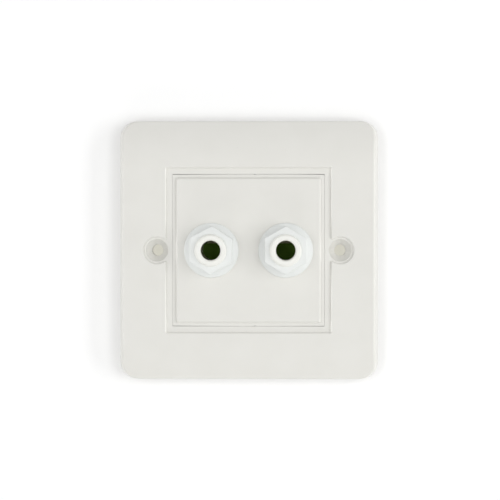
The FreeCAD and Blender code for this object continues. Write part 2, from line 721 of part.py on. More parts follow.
def main():
    nodes = {
        "front_plate": make_front_plate(),
        "module_insert": make_module_insert(),
        "circuit_board": make_circuit_board(),
    }
    nut_turns = {"left": NUT_TURN_LEFT, "right": NUT_TURN_RIGHT}
    for name, side in SIDES.items():
        x = side * JACK_SPACING / 2
        nodes["jack_body_" + name] = make_jack_body(x)
        nodes["jack_nut_" + name] = make_jack_nut(x, nut_turns[name])
        nodes["sleeve_contact_" + name] = make_sleeve_contact(x)
        nodes["tip_spring_" + name] = make_tip_spring(x)
        nodes["break_contact_" + name] = make_break_contact(x)
        nodes["terminal_block_" + name] = make_terminal_block(x)
        for number, way_x in enumerate(way_places(x), start=1):
            nodes[f"terminal_blade_{name}_{number}"] = make_terminal_blade(way_x)
    os.makedirs("parts", exist_ok=True)
    for name, shape in nodes.items():
        shape.exportStep(f"parts/{name}.step")
        print(name, shape.isValid(), len(shape.Solids), round(shape.Volume, 2))


main()
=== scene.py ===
"""Looks of a twin jack socket wall plate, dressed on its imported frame."""

import logging
import math
from dataclasses import dataclass
from enum import Enum
from typing import Any, Iterable, Sequence

import bpy
from mathutils import Matrix, Vector


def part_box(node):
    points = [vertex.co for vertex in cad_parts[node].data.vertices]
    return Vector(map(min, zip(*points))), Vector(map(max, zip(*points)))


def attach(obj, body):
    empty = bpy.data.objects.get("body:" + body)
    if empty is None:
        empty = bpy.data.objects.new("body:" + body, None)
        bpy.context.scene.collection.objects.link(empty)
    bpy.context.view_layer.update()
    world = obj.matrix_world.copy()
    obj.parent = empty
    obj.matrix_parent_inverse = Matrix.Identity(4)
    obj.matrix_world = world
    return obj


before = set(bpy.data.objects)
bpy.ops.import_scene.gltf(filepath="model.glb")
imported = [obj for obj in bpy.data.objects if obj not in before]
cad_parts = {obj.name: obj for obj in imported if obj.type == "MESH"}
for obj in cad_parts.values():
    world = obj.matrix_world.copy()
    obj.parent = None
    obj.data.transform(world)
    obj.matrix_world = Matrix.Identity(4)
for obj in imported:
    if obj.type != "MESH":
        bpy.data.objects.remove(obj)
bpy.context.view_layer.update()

LOG = logging.getLogger("wall_plate")

MM = 0.001
BODY = "wall_plate"
WHITE = (1.0, 1.0, 1.0, 1.0)
UP = Vector((0, 0, 1))
REARWARD = Vector((0, 1, 0))
SQUARE = ((-1, -1), (1, -1), (1, 1), (-1, 1))

# Colour sockets of the Mix node
COLOUR_A = 6
COLOUR_B = 7
COLOUR_OUT = 2

# Rays that the Bevel and Ambient Occlusion nodes send from each point
EDGE_SAMPLES = 4
CONTACT_SAMPLES = 8

# Distance between the Wave texture's bands at a scale of 1
WAVE_SPACING = math.tau / 20

# Least part of a normal along Y with which the board's surface is a face and not an edge
FACE_SHARE = 0.5

# Thickness of the strip that the contacts are bent from
STRIP_MM = 0.4

# Corners of a strip's section, and the least cosine at a mitre, which keeps sharp corners short
SECTION = 4
MITRE_LIMIT = 0.3

Point = tuple[float, float]
Faces = list[list[int]]


class Side(Enum):
    """The two jacks, named as seen from the front."""

    LEFT = "left"
    RIGHT = "right"


class Pole(Enum):
    """The circuits of one jack, by the terminal way that each leads to."""

    TIP = 1
    SLEEVE = 2
    BREAK = 3


class BoardFace(Enum):
    """A face of the circuit board, by its direction along Y."""

    FRONT = -1
    REAR = 1


# Helpers


def linear(colour: str) -> tuple[float, float, float, float]:
    """Turn an sRGB hex colour into linear light.

    Args:
        colour: Six hex digits after a hash.

    Returns:
        Linear red, green and blue, with an alpha of 1.
    """
    shares = [int(colour[n : n + 2], 16) / 255 for n in (1, 3, 5)]
    red, green, blue = (s / 12.92 if s <= 0.04045 else ((s + 0.055) / 1.055) ** 2.4 for s in shares)
    return red, green, blue, 1.0


def per_mm(size_mm: float) -> float:
    """Return the texture scale at which one feature is size_mm across."""
    return 1.0 / (size_mm * MM)


def add_node(
    tree: bpy.types.NodeTree, kind: str, inputs: dict[str | int, Any] | None = None, **settings: Any
) -> bpy.types.Node:
    """Add a node with its settings, values and links.

    Args:
        tree: Node tree that takes the node.
        kind: Blender's name for the kind of node.
        inputs: Value or source socket for each input, by name or number.
        settings: Properties of the node itself.

    Returns:
        The new node.
    """
    node = tree.nodes.new(kind)
    for name, value in settings.items():
        setattr(node, name, value)
    for key, value in (inputs or {}).items():
        if isinstance(value, bpy.types.NodeSocket):
            tree.links.new(value, node.inputs[key])
        else:
            node.inputs[key].default_value = value
    return node


def seen_directly(tree: bpy.types.NodeTree) -> bpy.types.NodeSocket:
    """Tell the rays that see a surface from those that only light it.

    Args:
        tree: Node tree of the material or the world.

    Returns:
        A socket that is 1 for camera, glossy and transmission rays and 0 for the rest.
    """
    path = add_node(tree, "ShaderNodeLightPath")
    mirrored = add_node(
        tree,
        "ShaderNodeMath",
        {0: path.outputs["Is Glossy Ray"], 1: path.outputs["Is Transmission Ray"]},
        operation="MAXIMUM",
    )
    both = add_node(
        tree,
        "ShaderNodeMath",
        {0: path.outputs["Is Camera Ray"], 1: mirrored.outputs["Value"]},
        operation="MAXIMUM",
    )
    return both.outputs["Value"]


# Finishes


@dataclass(frozen=True)
class Finish:
    """A surface as it was made, which knows how to draw itself."""

    name: str

    def material(self) -> bpy.types.Material:
        """Draw this finish once, and then share it.

        Returns:
            The material.
        """
        found = bpy.data.materials.get(self.name)
        if found is not None:
            return found
        made = bpy.data.materials.new(self.name)
        made.use_nodes = True
        made.node_tree.nodes.clear()
        surface = self.shade(made.node_tree)
        add_node(made.node_tree, "ShaderNodeOutputMaterial", {"Surface": surface})
        return made

    def shade(self, tree: bpy.types.NodeTree) -> bpy.types.NodeSocket:
        """Return the surface socket of this finish's nodes."""
        raise NotImplementedError


@dataclass(frozen=True)
class MouldedPlastic(Finish):
    """Injection-moulded plastic: a soft sheen, faint flow mottling and a fine moulded skin."""

    colour: str
    mottle: str
    ior: float
    roughness: float
    sheen_spread: float
    mottle_mm: float
    skin_mm: float
    skin_depth_mm: float
    edge_mm: float

    def shade(self, tree: bpy.types.NodeTree) -> bpy.types.NodeSocket:
        """Draw mottled colour and sheen over a finely uneven skin with softened edges.

        Args:
            tree: Node tree of the material.

        Returns:
            The shader's surface socket.
        """
        place = add_node(tree, "ShaderNodeTexCoord").outputs["Object"]
        flow = add_node(
            tree, "ShaderNodeTexNoise", {"Vector": place, "Scale": per_mm(self.mottle_mm), "Detail": 3.0}
        )
        skin = add_node(
            tree, "ShaderNodeTexNoise", {"Vector": place, "Scale": per_mm(self.skin_mm), "Detail": 2.0}
        )
        tone = add_node(
            tree,
            "ShaderNodeMix",
            {"Factor": flow.outputs["Fac"], COLOUR_A: linear(self.colour), COLOUR_B: linear(self.mottle)},
            data_type="RGBA",
        )
        sheen = add_node(
            tree,
            "ShaderNodeMapRange",
            {
                "Value": skin.outputs["Fac"],
                "To Min": self.roughness - self.sheen_spread,
                "To Max": self.roughness + self.sheen_spread,
            },
        )
        edge = add_node(tree, "ShaderNodeBevel", {"Radius": self.edge_mm * MM}, samples=EDGE_SAMPLES)
        relief = add_node(
            tree,
            "ShaderNodeBump",
            {
                "Strength": 1.0,
                "Distance": self.skin_depth_mm * MM,
                "Height": skin.outputs["Fac"],
                "Normal": edge.outputs["Normal"],
            },
        )
        return add_node(
            tree,
            "ShaderNodeBsdfPrincipled",
            {
                "Base Color": tone.outputs[COLOUR_OUT],
                "Roughness": sheen.outputs["Result"],
                "IOR": self.ior,
                "Normal": relief.outputs["Normal"],
            },
        ).outputs["BSDF"]


@dataclass(frozen=True)
class PrintedInk(MouldedPlastic):
    """Screen-printed ink: drawn as a moulded skin is, with the print's uneven cover as its mottle."""


@dataclass(frozen=True)
class WorkedMetal(Finish):
    """Rolled, turned or soldered metal: bright, with fine lines or lumps and cloudy tarnish."""

    colour: str
    tarnish: str
    roughness: float
    sheen_spread: float
    line_mm: tuple[float, float, float]
    line_depth_mm: float
    cloud_mm: float

    def shade(self, tree: bpy.types.NodeTree) -> bpy.types.NodeSocket:
        """Draw clouded metal with the marks of its making.

        Args:
            tree: Node tree of the material.

        Returns:
            The shader's surface socket.
        """
        place = add_node(tree, "ShaderNodeTexCoord").outputs["Object"]
        drawn = add_node(
            tree,
            "ShaderNodeMapping",
            {"Vector": place, "Scale": [per_mm(size) for size in self.line_mm]},
        )
        lines = add_node(
            tree, "ShaderNodeTexNoise", {"Vector": drawn.outputs["Vector"], "Scale": 1.0, "Detail": 2.0}
        )
        cloud = add_node(
            tree, "ShaderNodeTexNoise", {"Vector": place, "Scale": per_mm(self.cloud_mm), "Detail": 4.0}
        )
        tone = add_node(
            tree,
            "ShaderNodeMix",
            {"Factor": cloud.outputs["Fac"], COLOUR_A: linear(self.colour), COLOUR_B: linear(self.tarnish)},
            data_type="RGBA",
        )
        sheen = add_node(
            tree,
            "ShaderNodeMapRange",
            {
                "Value": cloud.outputs["Fac"],
                "To Min": self.roughness - self.sheen_spread,
                "To Max": self.roughness + self.sheen_spread,
            },
        )
        relief = add_node(
            tree,
            "ShaderNodeBump",
            {"Strength": 1.0, "Distance": self.line_depth_mm * MM, "Height": lines.outputs["Fac"]},
        )
        return add_node(
            tree,
            "ShaderNodeBsdfPrincipled",
            {
                "Base Color": tone.outputs[COLOUR_OUT],
                "Metallic": 1.0,
                "Roughness": sheen.outputs["Result"],
                "Normal": relief.outputs["Normal"],
            },
        ).outputs["BSDF"]


@dataclass(frozen=True)
class MaskedLaminate(Finish):
    """Woven glass laminate under solder mask: green over a faint weave, with bare sawn edges."""

    mask: str
    mask_dark: str
    laminate: str
    ior: float
    gloss: float
    roughness: float
    weave_mm: float
    weave_depth_mm: float
    cloud_mm: float

    def shade(self, tree: bpy.types.NodeTree) -> bpy.types.NodeSocket:
        """Draw masked faces with the weave showing through, and bare edges.

        Args:
            tree: Node tree of the material.

        Returns:
            The shader's surface socket.
        """
        place = add_node(tree, "ShaderNodeTexCoord").outputs["Object"]
        threads = [
            add_node(
                tree,
                "ShaderNodeTexWave",
                {
                    "Vector": place,
                    "Scale": WAVE_SPACING * per_mm(self.weave_mm),
                    "Distortion": 0.6,
                    "Detail": 1.0,
                },
                bands_direction=way,
            ).outputs["Fac"]
            for way in ("X", "Z")
        ]
        weave = add_node(tree, "ShaderNodeMath", {0: threads[0], 1: threads[1]}, operation="MULTIPLY")
        cloud = add_node(
            tree, "ShaderNodeTexNoise", {"Vector": place, "Scale": per_mm(self.cloud_mm), "Detail": 3.0}
        )
        shade = add_node(
            tree,
            "ShaderNodeMath",
            {0: weave.outputs["Value"], 1: cloud.outputs["Fac"]},
            operation="MULTIPLY",
        )
        green = add_node(
            tree,
            "ShaderNodeMix",
            {
                "Factor": shade.outputs["Value"],
                COLOUR_A: linear(self.mask),
                COLOUR_B: linear(self.mask_dark),
            },
            data_type="RGBA",
        )
        geometry = add_node(tree, "ShaderNodeNewGeometry")
        normal = add_node(tree, "ShaderNodeSeparateXYZ", {0: geometry.outputs["Normal"]})
        flat = add_node(tree, "ShaderNodeMath", {0: normal.outputs["Y"]}, operation="ABSOLUTE")
        masked = add_node(
            tree,
            "ShaderNodeMath",
            {0: flat.outputs["Value"], 1: FACE_SHARE},
            operation="GREATER_THAN",
        )
        tone = add_node(
            tree,
            "ShaderNodeMix",
            {
                "Factor": masked.outputs["Value"],
                COLOUR_A: linear(self.laminate),
                COLOUR_B: green.outputs[COLOUR_OUT],
            },
            data_type="RGBA",
        )
        relief = add_node(
            tree,
            "ShaderNodeBump",
            {"Strength": 1.0, "Distance": self.weave_depth_mm * MM, "Height": weave.outputs["Value"]},
        )
        return add_node(
            tree,
            "ShaderNodeBsdfPrincipled",
            {
                "Base Color": tone.outputs[COLOUR_OUT],
                "Roughness": self.roughness,
                "IOR": self.ior,
                "Specular IOR Level": self.gloss,
                "Normal": relief.outputs["Normal"],
            },
        ).outputs["BSDF"]


@dataclass(frozen=True)
class StudioSurface(Finish):
    """White paper sweep: reads as pure white in view, keeps soft shadows with a painted contact shade, and
    is open from behind.
    """

    bounce: str
    glow: str
    self_light: float
    shadow_share: float
    painted_contact_shade: float
    contact_mm: float = 5.5
    touch_mm: float = 0.2

    def shade(self, tree: bpy.types.NodeTree) -> bpy.types.NodeSocket:
        """Draw white paper with a painted contact shade, see-through from its back and for light to a face
        that touches it.

        Args:
            tree: Node tree of the material.

        Returns:
            The shader's surface socket.
        """
        paper = add_node(tree, "ShaderNodeBsdfDiffuse", {"Color": linear(self.bounce)})
        # Painted shade: an ambient occlusion node darkens the paper next to the plate, deeper than the
        # lamps' own shadow
        painted_occlusion = add_node(
            tree,
            "ShaderNodeAmbientOcclusion",
            {"Distance": self.contact_mm * MM},
            samples=CONTACT_SAMPLES,
        )
        shade = add_node(
            tree,
            "ShaderNodeMapRange",
            {
                "Value": painted_occlusion.outputs["AO"],
                "To Min": self.shadow_share * (1.0 - self.painted_contact_shade),
                "To Max": self.shadow_share,
            },
        )
        shadowed = add_node(tree, "ShaderNodeBsdfDiffuse", {"Color": shade.outputs["Result"]})
        bright = add_node(
            tree,
            "ShaderNodeEmission",
            {"Color": linear(self.glow), "Strength": self.self_light},
        )
        shown = add_node(
            tree, "ShaderNodeAddShader", {0: shadowed.outputs["BSDF"], 1: bright.outputs["Emission"]}
        )
        front = add_node(
            tree,
            "ShaderNodeMixShader",
            {0: seen_directly(tree), 1: paper.outputs["BSDF"], 2: shown.outputs["Shader"]},
        )
        behind = add_node(tree, "ShaderNodeNewGeometry").outputs["Backfacing"]
        length = add_node(tree, "ShaderNodeLightPath").outputs["Ray Length"]
        touching = add_node(
            tree,
            "ShaderNodeMath",
            {0: length, 1: self.touch_mm * MM},
            operation="LESS_THAN",
        )
        through = add_node(
            tree,
            "ShaderNodeMath",
            {0: behind, 1: touching.outputs["Value"]},
            operation="MAXIMUM",
        )
        clear = add_node(tree, "ShaderNodeBsdfTransparent")
        return add_node(
            tree,
            "ShaderNodeMixShader",
            {0: through.outputs["Value"], 1: front.outputs["Shader"], 2: clear.outputs["BSDF"]},
        ).outputs["Shader"]


# Gloss-moulded ABS: an even off-white with a low sheen, and a faint orange peel about a
# millimetre across that only a raking light shows.
PLATE_ABS = MouldedPlastic(
    name="abs_gloss_moulding",
    colour="#E8E7E2",
    mottle="#E2E1DB",
    ior=1.52,
    roughness=0.3,
    sheen_spread=0.05,
    mottle_mm=9.0,
    skin_mm=0.9,
    skin_depth_mm=0.004,
    edge_mm=0.12,
)

# Natural nylon, moulded: warm white with a low, waxy sheen. The real skin's grain is far below
# 0.1 mm and is drawn coarser, so that it shows.
JACK_NYLON = MouldedPlastic(
    name="nylon_natural_moulding",
    colour="#F4F4EF",
    mottle="#EFEFE9",
    ior=1.53,
    roughness=0.42,
    sheen_spread=0.06,
    mottle_mm=4.0,
    skin_mm=0.5,
    skin_depth_mm=0.004,
    edge_mm=0.35,
)

# Pigmented nylon, moulded: a cooler white with the same waxy sheen, and the same coarser grain.
NUT_NYLON = MouldedPlastic(
    name="nylon_white_moulding",
    colour="#EBEDEB",
    mottle="#E6E9E7",
    ior=1.53,
    roughness=0.4,
    sheen_spread=0.06,
    mottle_mm=4.0,
    skin_mm=0.5,
    skin_depth_mm=0.004,
    edge_mm=0.3,
)

# Glass-filled polyester, moulded: pale grey and matt, with a skin that its fibres make grainy.
# The real fibres are about 0.02 mm thick, and the grain is drawn coarser, so that it shows.
TERMINAL_PBT = MouldedPlastic(
    name="pbt_glass_filled_moulding",
    colour="#C9CBC8",
    mottle="#BFC2BF",
    ior=1.55,
    roughness=0.55,
    sheen_spread=0.08,
    mottle_mm=2.5,
    skin_mm=0.25,
    skin_depth_mm=0.008,
    edge_mm=0.1,
)

# Nickel on turned brass: grey and bright, with fine turning rings along the tube. The real rings
# are about 0.05 mm apart and are drawn coarser, so that they show.
SLEEVE_NICKEL = WorkedMetal(
    name="nickel_plated_brass",
    colour="#BEBCB2",
    tarnish="#A6A498",
    roughness=0.42,
    sheen_spread=0.06,
    line_mm=(4.0, 0.25, 4.0),
    line_depth_mm=0.004,
    cloud_mm=3.0,
)

# Rolled nickel silver: a yellowish grey with fine lines along the strip. The real lines are about
# 0.02 mm apart and are drawn coarser, so that they show.
SPRING_NICKEL_SILVER = WorkedMetal(
    name="nickel_silver_strip",
    colour="#C9C2AE",
    tarnish="#ABA48C",
    roughness=0.52,
    sheen_spread=0.06,
    line_mm=(0.2, 4.0, 4.0),
    line_depth_mm=0.004,
    cloud_mm=2.0,
)

# Tin on rolled phosphor bronze: soft and pale, slightly dull, with the strip's lines drawn coarser
# in the same way.
BLADE_TIN = WorkedMetal(
    name="tinned_phosphor_bronze",
    colour="#CBCBC6",
    tarnish="#B2B1AA",
    roughness=0.36,
    sheen_spread=0.08,
    line_mm=(0.2, 3.0, 0.2),
    line_depth_mm=0.003,
    cloud_mm=1.5,
)

# Solder that froze in the open: silvery with a frosted, lumpy skin.
SOLDER = WorkedMetal(
    name="frozen_solder",
    colour="#C6C7C6",
    tarnish="#A9AAA8",
    roughness=0.34,
    sheen_spread=0.1,
    line_mm=(0.35, 0.35, 0.35),
    line_depth_mm=0.02,
    cloud_mm=0.8,
)

# Solder mask on glass laminate: olive green, with straw-coloured sawn edges. The real cloth's
# threads are about 0.6 mm apart and are drawn coarser, so that they show.
BOARD_LAMINATE = MaskedLaminate(
    name="solder_mask_on_laminate",
    mask="#456319",
    mask_dark="#385413",
    laminate="#A69A5C",
    ior=1.5,
    gloss=0.15,
    roughness=0.5,
    weave_mm=3.77,
    weave_depth_mm=0.004,
    cloud_mm=6.0,
)

# The same mask over copper, where the metal lifts it and shows through a lighter green.
BOARD_TRACK = MaskedLaminate(
    name="solder_mask_on_copper",
    mask="#5F8230",
    mask_dark="#557729",
    laminate="#5F8230",
    ior=1.5,
    gloss=0.5,
    roughness=0.26,
    weave_mm=3.77,
    weave_depth_mm=0.001,
    cloud_mm=4.0,
)

# Screen-printed ink: flat and chalky, with an uneven cover.
MARKING_INK = PrintedInk(
    name="screen_printed_ink",
    colour="#E4E4DA",
    mottle="#CFD2C4",
    ior=1.5,
    roughness=0.7,
    sheen_spread=0.08,
    mottle_mm=0.8,
    skin_mm=0.2,
    skin_depth_mm=0.004,
    edge_mm=0.02,
)

# White paper: pure white in the picture, apart from the object's shadow, and a painted contact shade that
# deepens it where the two meet.
PAPER_SWEEP = StudioSurface(
    name="white_paper_sweep",
    bounce="#F4F4F2",
    glow="#FFFFFF",
    self_light=0.06,
    shadow_share=1.0,
    painted_contact_shade=0.22,
)

# The paper behind the plate as seen through the screw holes: a card that glows a fixed grey, a painted half
# shadow, over a little real shading.
PAINTED_SHADE_CARD = StudioSurface(
    name="painted_shade_paper_card",
    bounce="#F4F4F2",
    glow="#D6D4C6",
    self_light=0.85,
    shadow_share=0.2,
    painted_contact_shade=0.0,
)


# Mesh building


def strip_faces(sections: int, closed: bool = False) -> Faces:
    """Join the sections of a strip that is open underneath.

    Args:
        sections: Number of sections along the strip.
        closed: Whether the last section leads back to the first.

    Returns:
        Corner numbers of each face.
    """
    faces = []
    for n in range(sections if closed else sections - 1):
        here, there = SECTION * n, SECTION * ((n + 1) % sections)
        for corner in range(SECTION - 1):
            faces.append([here + corner, here + corner + 1, there + corner + 1, there + corner])
    return faces


@dataclass
class MeshDraft:
    """Points and faces of one piece, gathered before it becomes an object."""

    points: list[Vector]
    faces: Faces

    @classmethod
    def empty(cls) -> "MeshDraft":
        """Return a draft with nothing in it."""
        return cls([], [])

    def add(self, points: Iterable[Vector], faces: Faces, place: Matrix | None = None) -> None:
        """Add a patch, moved to its place.

        Args:
            points: Corners of the patch.
            faces: Corner numbers of each face, counted within the patch.
            place: Transform into the frame, or none where the corners are there already.
        """
        start = len(self.points)
        self.points.extend(place @ Vector(point) if place else Vector(point) for point in points)
        self.faces.extend([start + corner for corner in face] for face in faces)

    def revolve(self, profile: Sequence[Point], place: Matrix, steps: int = 32) -> None:
        """Add a form turned about the local Z axis.

        Args:
            profile: Radius and height of each ring, from the rim to the top.
            place: Transform into the frame.
            steps: Corners of each ring.
        """
        points = []
        for radius, height in profile:
            for step in range(steps):
                angle = math.tau * step / steps
                points.append(Vector((radius * math.cos(angle), radius * math.sin(angle), height)))
        faces = []
        for ring in range(len(profile) - 1):
            for step in range(steps):
                near = ring * steps + step
                side = ring * steps + (step + 1) % steps
                faces.append([near, side, side + steps, near + steps])
        last = (len(profile) - 1) * steps
        faces.append([last + step for step in range(steps)])
        self.add(points, faces, place)

    def ribbon(
        self, route: Sequence[Point], width: float, thickness: float, place: Matrix, closed: bool
    ) -> None:
        """Add a flat strip along a route, with mitred corners.

        Args:
            route: Points along the middle of the strip, in the local XY plane.
            width: Width of the strip.
            thickness: Height of the strip above the local plane.
            place: Transform into the frame.
            closed: Whether the last point leads back to the first.
        """
        count = len(route)
        middle = [Vector(point) for point in route]
        points = []
        for n, point in enumerate(middle):
            before = middle[n - 1] if closed or n > 0 else None
            after = middle[(n + 1) % count] if closed or n < count - 1 else None
            ways = [(b - a).normalized() for a, b in ((before, point), (point, after)) if a and b]
            along = sum(ways, Vector((0, 0))).normalized()
            across = Vector((-along.y, along.x))
            reach = width / 2 / max(MITRE_LIMIT, along.dot(ways[0]))
            for side, height in ((1, 0.0), (1, thickness), (-1, thickness), (-1, 0.0)):
                edge = point + across * (side * reach)
                points.append(Vector((edge.x, edge.y, height)))
        self.add(points, strip_faces(count, closed), place)

    def piece(
        self, name: str, finish: Finish, slot: str, body: str = BODY, smooth: bool = True
    ) -> bpy.types.Object:
        """Make the draft an object that rides on a body.

        Args:
            name: Name of the piece.
            finish: Surface of the piece.
            slot: Material slot of the record that it belongs to; not used.
            body: Body that carries it.
            smooth: Whether its faces are shaded as one curved surface.

        Returns:
            The new object.
        """
        mesh = bpy.data.meshes.new(name)
        mesh.from_pydata([point[:] for point in self.points], [], self.faces)
        mesh.validate()
        mesh.polygons.foreach_set("use_smooth", [smooth] * len(mesh.polygons))
        mesh.materials.append(finish.material())
        made = bpy.data.objects.new(name, mesh)
        bpy.context.scene.collection.objects.link(made)
        if smooth:
            soften(made)
        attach(made, body)
        LOG.info("piece %s: %d faces", name, len(mesh.polygons))
        return made


def soften(piece: bpy.types.Object, angle_deg: float = 35.0) -> None:
    """Shade a piece smooth, apart from edges sharper than an angle."""
    piece.data.shade_smooth()
    piece.data.set_sharp_from_angle(angle=math.radians(angle_deg))


def dress(node: str, finish: Finish) -> None:
    """Give a node of the frame its finish.

    Args:
        node: Name of the node.
        finish: Surface of the node.
    """
    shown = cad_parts[node]
    shown.data.materials.clear()
    shown.data.materials.append(finish.material())
    LOG.info("node %s: %s", node, finish.name)


def middle_of(node: str) -> Vector:
    """Return the middle of a node's box."""
    low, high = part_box(node)
    return (low + high) / 2


def facing(direction: Vector, place: Vector, stretch: Sequence[float] = (1.0, 1.0, 1.0)) -> Matrix:
    """Return a transform that points local Z along a direction at a place.

    Args:
        direction: Direction of the local Z axis in the frame.
        place: Where the local origin goes.
        stretch: Scale along each local axis.

    Returns:
        The transform from local to frame.
    """
    turn = direction.to_track_quat("Z", "Y")
    return Matrix.LocRotScale(place, turn, Vector(stretch))


# Sub-assemblies


@dataclass
class MouldedFront:
    """Front plate and clip-in module, with the ejector marks on their hidden faces."""

    mark_radius_mm: float = 2.2
    mark_rise_mm: float = 0.06
    mark_rim_mm: float = 0.18
    mark_slope_mm: float = 0.045
    mark_dish_mm: float = 0.02
    mark_steps: int = 40
    plate_skin_y_mm: float = -6.6
    plate_mark_x_mm: float = 35.0
    plate_mark_z_mm: float = 12.0
    panel_back_y_mm: float = -6.5
    panel_mark_x_mm: float = 11.0
    panel_mark_z_mm: float = 16.0

    def dress(self) -> None:
        """Give both mouldings their finish."""
        dress("front_plate", PLATE_ABS)
        dress("module_insert", PLATE_ABS)

    def build(self) -> None:
        """Add the ring that each ejector pin left behind the plate and the panel."""
        self.ejector_marks(
            "plate_ejector_marks",
            self.plate_mark_x_mm,
            self.plate_skin_y_mm,
            self.plate_mark_z_mm,
        )
        self.ejector_marks(
            "module_ejector_marks",
            self.panel_mark_x_mm,
            self.panel_back_y_mm,
            self.panel_mark_z_mm,
        )

    def ejector_marks(self, name: str, x_mm: float, y_mm: float, z_mm: float) -> None:
        """Add four marks, one in each quarter.

        Args:
            name: Name of the piece that holds all four.
            x_mm: Distance of each mark from the middle, across.
            y_mm: Plane that the marks lie on.
            z_mm: Distance of each mark from the middle, up or down.
        """
        marks = MeshDraft.empty()
        outer = self.mark_radius_mm * MM
        rise = self.mark_rise_mm * MM
        inner = outer - self.mark_rim_mm * MM
        slope = self.mark_slope_mm * MM
        dish = self.mark_dish_mm * MM
        profile = [
            (outer, 0.0),
            (outer - slope, rise),
            (inner, rise),
            (inner - slope, dish),
            (0.0, dish),
        ]
        for x_side in (-1, 1):
            for z_side in (-1, 1):
                place = Vector((x_side * x_mm, y_mm, z_side * z_mm)) * MM
                marks.revolve(profile, facing(REARWARD, place), self.mark_steps)
        marks.piece(name, PLATE_ABS, "plate_plastic")


@dataclass
class JackSocket:
    """One jack: bush and housing, nut, sleeve tube, tip spring and break contact."""

    side: Side
    core_radius_mm: float = 5.05
    crest_radius_mm: float = 5.35
    pitch_mm: float = 0.8
    thread_lead_mm: float = 0.75
    thread_in_nut_mm: float = 0.6
    thread_foot_share: float = 0.45
    thread_crest_share: float = 0.12
    thread_fade_turns: float = 1 / 3
    steps_per_turn: int = 72
    button_radius_mm: float = 0.55
    button_rise_mm: float = 0.08
    button_rings: int = 6
    pad_level_mm: float = 0.02
    strip_mm: float = STRIP_MM

    def node(self, name: str) -> str:
        """Return the name of this side's node."""
        return f"{name}_{self.side.value}"

    def dress(self) -> None:
        """Give each piece of the jack its finish."""
        dress(self.node("jack_body"), JACK_NYLON)
        dress(self.node("jack_nut"), NUT_NYLON)
        dress(self.node("sleeve_contact"), SLEEVE_NICKEL)
        dress(self.node("tip_spring"), SPRING_NICKEL_SILVER)
        dress(self.node("break_contact"), SPRING_NICKEL_SILVER)

    def build(self) -> None:
        """Add the bush's thread and the break contact's button."""
        self.thread()
        self.break_button()

    def thread(self) -> None:
        """Wind a thread ridge on the bush, from its lead-in to just inside the nut."""
        axis = middle_of(self.node("jack_nut"))
        start_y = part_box(self.node("jack_body"))[0].y + self.thread_lead_mm * MM
        end_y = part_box(self.node("jack_nut"))[0].y + self.thread_in_nut_mm * MM
        pitch = self.pitch_mm * MM
        core = self.core_radius_mm * MM
        foot, top = self.thread_foot_share * pitch, self.thread_crest_share * pitch
        steps = round((end_y - start_y) / pitch * self.steps_per_turn)
        fade = self.steps_per_turn * self.thread_fade_turns
        ridge = MeshDraft.empty()
        points = []
        for step in range(steps + 1):
            angle = math.tau * step / self.steps_per_turn
            share = min(1.0, step / fade, (steps - step) / fade)
            crest = core + (self.crest_radius_mm - self.core_radius_mm) * MM * share
            middle_y = start_y + pitch * step / self.steps_per_turn
            for radius, along in ((core, -foot), (crest, -top), (crest, top), (core, foot)):
                x = axis.x + radius * math.cos(angle)
                z = axis.z + radius * math.sin(angle)
                points.append(Vector((x, middle_y + along, z)))
        ridge.add(points, strip_faces(steps + 1))
        ridge.piece(self.node("bush_thread"), JACK_NYLON, "jack_plastic")

    def dome(self, radius_mm: float, rise_mm: float) -> list[Point]:
        """Return the profile of a pressed dome.

        Args:
            radius_mm: Radius of its foot.
            rise_mm: Height of its top.

        Returns:
            Radius and height of each ring, in metres.
        """
        rings = self.button_rings
        angles = [math.pi / 2 * ring / rings for ring in range(rings + 1)]
        return [(radius_mm * MM * math.cos(a), rise_mm * MM * math.sin(a)) for a in angles]

    def break_button(self) -> None:
        """Set a contact button on the break contact's pad, below the tip spring's end."""
        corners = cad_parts[self.node("break_contact")].data.vertices
        low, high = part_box(self.node("break_contact"))
        pad_top = low.z + self.strip_mm * MM
        level = self.pad_level_mm * MM
        pad = [corner.co.y for corner in corners if abs(corner.co.z - pad_top) < level]
        place = Vector(((low.x + high.x) / 2, max(pad) - self.button_radius_mm * MM, pad_top))
        button = MeshDraft.empty()
        button.revolve(self.dome(self.button_radius_mm, self.button_rise_mm), facing(UP, place))
        button.piece(self.node("break_button"), SPRING_NICKEL_SILVER, "spring_alloy")


